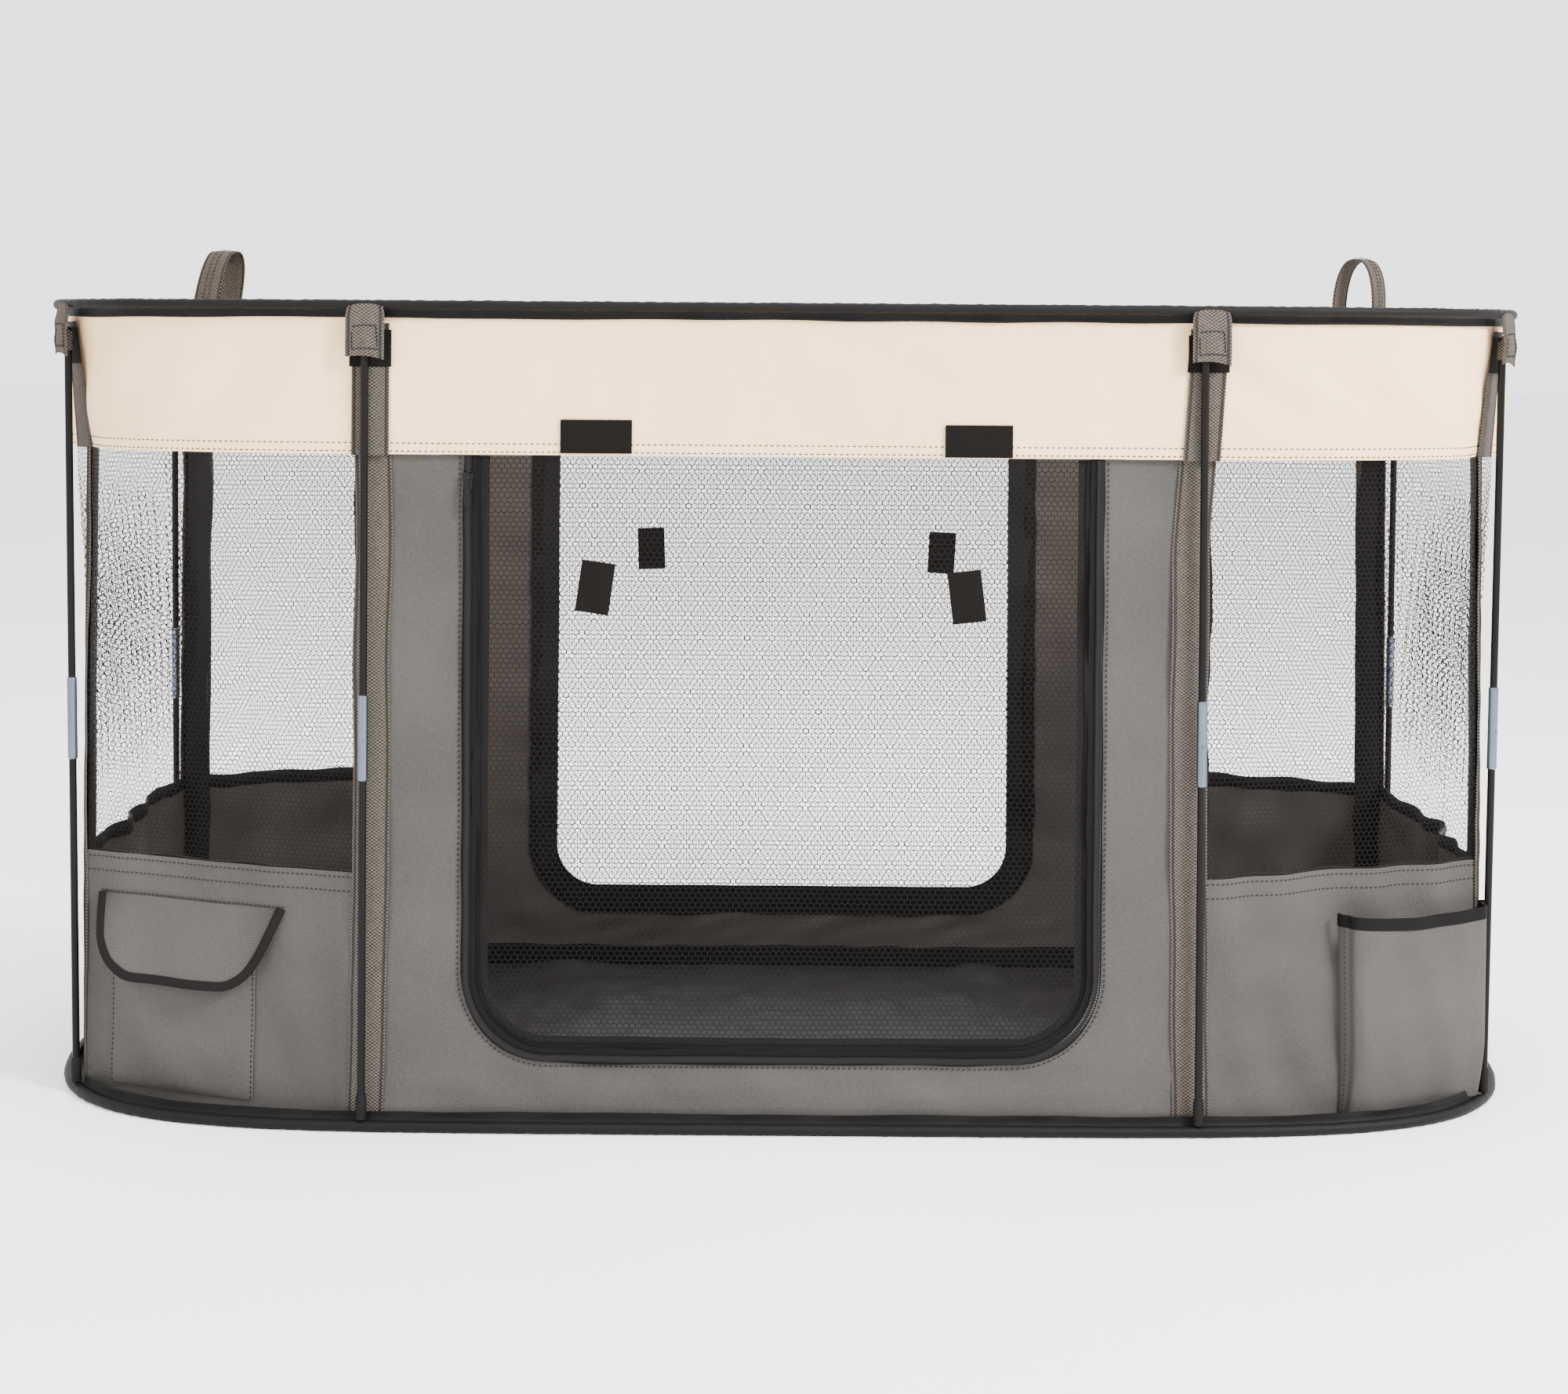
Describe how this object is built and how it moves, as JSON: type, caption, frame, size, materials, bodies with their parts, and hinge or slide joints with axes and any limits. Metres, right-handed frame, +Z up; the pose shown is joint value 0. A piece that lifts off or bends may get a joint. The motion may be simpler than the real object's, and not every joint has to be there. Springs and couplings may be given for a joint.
{
  "type": "folding fabric pet playpen",
  "caption": "Long folding fabric playpen for pets with sprung wire rings, upright rods, net walls, zipped doors at front and rear, corner pockets and carrying loops.",
  "frame": {"origin": "on the ground at the middle of the pen's footprint", "axes": "+X along the pen's length to the right, -Y towards the front with the pockets, +Z up"},
  "size_m": [1.2238, 0.5592, 0.694],
  "materials": {
    "grey_cloth": "woven polyester",
    "cream_cloth": "woven polyester",
    "black_cloth": "coated nylon",
    "black_net": "knitted net",
    "grey_webbing": "ribbed webbing",
    "glass_fibre": "satin glass-fibre rod",
    "zinc_steel": "zinc plated",
    "spring_steel": "plain spring wire",
    "black_zip": "nylon coil and painted slider"
  },
  "bodies": {
    "pen": {"base_ring_sleeve_front": "black_cloth", "base_ring_sleeve_right": "black_cloth", "base_ring_sleeve_rear": "black_cloth", "base_ring_sleeve_left": "black_cloth", "base_ring_wire": "spring_steel", "floor_panel": "black_cloth", "left_lower_wall": "grey_cloth", "right_lower_wall": "grey_cloth", "left_net_wall": "black_net", "right_net_wall": "black_net", "front_door_surround": "grey_cloth", "rear_door_surround": "grey_cloth", "front_zip_chain": "black_zip", "rear_zip_chain": "black_zip", "cargo_pocket": "grey_cloth", "open_pocket": "grey_cloth"},
    "top_ring": {"top_ring_sleeve_front": "black_cloth", "top_ring_sleeve_right": "black_cloth", "top_ring_sleeve_rear": "black_cloth", "top_ring_sleeve_left": "black_cloth", "top_ring_wire": "spring_steel", "top_band_front": "cream_cloth", "top_band_right": "cream_cloth", "top_band_rear": "cream_cloth", "top_band_left": "cream_cloth"},
    "front_door": {"front_door": "black_net"},
    "rear_door": {"rear_door": "black_net"},
    "front_slider": {"front_zip_slider": "black_zip"},
    "rear_slider": {"rear_zip_slider": "black_zip"},
    "front_pull": {"front_zip_pull": "black_zip"},
    "rear_pull": {"rear_zip_pull": "black_zip"},
    "flap": {"cargo_pocket_flap": "grey_cloth"},
    "left_handle": {"left_handle": "grey_webbing"},
    "right_handle": {"right_handle": "grey_webbing"},
    "front_left_pole": {"front_left_rod": "glass_fibre", "front_left_ferrule": "zinc_steel", "front_left_top_tab": "grey_webbing"},
    "front_right_pole": {"front_right_rod": "glass_fibre", "front_right_ferrule": "zinc_steel", "front_right_top_tab": "grey_webbing"},
    "right_front_pole": {"right_front_rod": "glass_fibre", "right_front_ferrule": "zinc_steel", "right_front_top_tab": "grey_webbing"},
    "right_rear_pole": {"right_rear_rod": "glass_fibre", "right_rear_ferrule": "zinc_steel", "right_rear_top_tab": "grey_webbing"},
    "rear_right_pole": {"rear_right_rod": "glass_fibre", "rear_right_ferrule": "zinc_steel", "rear_right_top_tab": "grey_webbing"},
    "rear_left_pole": {"rear_left_rod": "glass_fibre", "rear_left_ferrule": "zinc_steel", "rear_left_top_tab": "grey_webbing"},
    "left_rear_pole": {"left_rear_rod": "glass_fibre", "left_rear_ferrule": "zinc_steel", "left_rear_top_tab": "grey_webbing"},
    "left_front_pole": {"left_front_rod": "glass_fibre", "left_front_ferrule": "zinc_steel", "left_front_top_tab": "grey_webbing"}
  },
  "joints": [
    {"name": "ring_drop", "type": "slide", "parent": "pen", "child": "top_ring", "axis": [0, 0, 1], "range_m": [-0.3, 0]},
    {"name": "front_left_pole_tip", "type": "hinge", "parent": "pen", "child": "front_left_pole", "pos_m": [-0.322, -0.26873, 0.004], "axis": [0.9991, -0.0425, 0], "range_deg": [0, 76]},
    {"name": "front_right_pole_tip", "type": "hinge", "parent": "pen", "child": "front_right_pole", "pos_m": [0.322, -0.26873, 0.004], "axis": [0.9991, 0.0425, 0], "range_deg": [0, 76]},
    {"name": "right_front_pole_tip", "type": "hinge", "parent": "pen", "child": "right_front_pole", "pos_m": [0.567, -0.17267, 0.004], "axis": [0.4974, 0.8675, 0], "range_deg": [0, 76]},
    {"name": "right_rear_pole_tip", "type": "hinge", "parent": "pen", "child": "right_rear_pole", "pos_m": [0.567, 0.17267, 0.004], "axis": [-0.4974, 0.8675, 0], "range_deg": [0, 76]},
    {"name": "rear_right_pole_tip", "type": "hinge", "parent": "pen", "child": "rear_right_pole", "pos_m": [0.322, 0.26873, 0.004], "axis": [-0.9991, 0.0425, 0], "range_deg": [0, 76]},
    {"name": "rear_left_pole_tip", "type": "hinge", "parent": "pen", "child": "rear_left_pole", "pos_m": [-0.322, 0.26873, 0.004], "axis": [-0.9991, -0.0425, 0], "range_deg": [0, 76]},
    {"name": "left_rear_pole_tip", "type": "hinge", "parent": "pen", "child": "left_rear_pole", "pos_m": [-0.567, 0.17267, 0.004], "axis": [-0.4974, -0.8675, 0], "range_deg": [0, 76]},
    {"name": "left_front_pole_tip", "type": "hinge", "parent": "pen", "child": "left_front_pole", "pos_m": [-0.567, -0.17267, 0.004], "axis": [0.4974, -0.8675, 0], "range_deg": [0, 76]},
    {"name": "front_door_lift", "type": "hinge", "parent": "pen", "child": "front_door", "pos_m": [0, -0.26469, 0.52], "axis": [-1, 0, 0], "range_deg": [0, 110]},
    {"name": "front_zip_run", "type": "slide", "parent": "pen", "child": "front_slider", "axis": [0, 0.0067, -1], "range_m": [0, 0.36]},
    {"name": "front_pull_swing", "type": "hinge", "parent": "front_slider", "child": "front_pull", "pos_m": [-0.243, -0.26392, 0.5025], "axis": [-1, 0, 0], "range_deg": [0, 100]},
    {"name": "rear_door_lift", "type": "hinge", "parent": "pen", "child": "rear_door", "pos_m": [0, 0.26469, 0.52], "axis": [1, 0, 0], "range_deg": [0, 110]},
    {"name": "rear_zip_run", "type": "slide", "parent": "pen", "child": "rear_slider", "axis": [0, -0.0067, -1], "range_m": [0, 0.36]},
    {"name": "rear_pull_swing", "type": "hinge", "parent": "rear_slider", "child": "rear_pull", "pos_m": [0.243, 0.26392, 0.5025], "axis": [1, 0, 0], "range_deg": [0, 100]},
    {"name": "flap_lift", "type": "hinge", "parent": "pen", "child": "flap", "pos_m": [-0.46848, -0.20306, 0.17], "axis": [-0.9334, 0.3587, 0], "range_deg": [0, 140]},
    {"name": "left_handle_swing", "type": "hinge", "parent": "top_ring", "child": "left_handle", "pos_m": [-0.55, 0.21105, 0.6355], "axis": [-0.7321, -0.6811, 0], "range_deg": [-8, 90]},
    {"name": "right_handle_swing", "type": "hinge", "parent": "top_ring", "child": "right_handle", "pos_m": [0.55, 0.21105, 0.6355], "axis": [-0.7321, 0.6811, 0], "range_deg": [-8, 90]}
  ],
  "couplings": [
    {"joint": "front_left_pole_tip", "follows": "ring_drop", "rad_per_m": -4.3633},
    {"joint": "front_right_pole_tip", "follows": "ring_drop", "rad_per_m": -4.3633},
    {"joint": "right_front_pole_tip", "follows": "ring_drop", "rad_per_m": -4.3633},
    {"joint": "right_rear_pole_tip", "follows": "ring_drop", "rad_per_m": -4.3633},
    {"joint": "rear_right_pole_tip", "follows": "ring_drop", "rad_per_m": -4.3633},
    {"joint": "rear_left_pole_tip", "follows": "ring_drop", "rad_per_m": -4.3633},
    {"joint": "left_rear_pole_tip", "follows": "ring_drop", "rad_per_m": -4.3633},
    {"joint": "left_front_pole_tip", "follows": "ring_drop", "rad_per_m": -4.3633}
  ]
}
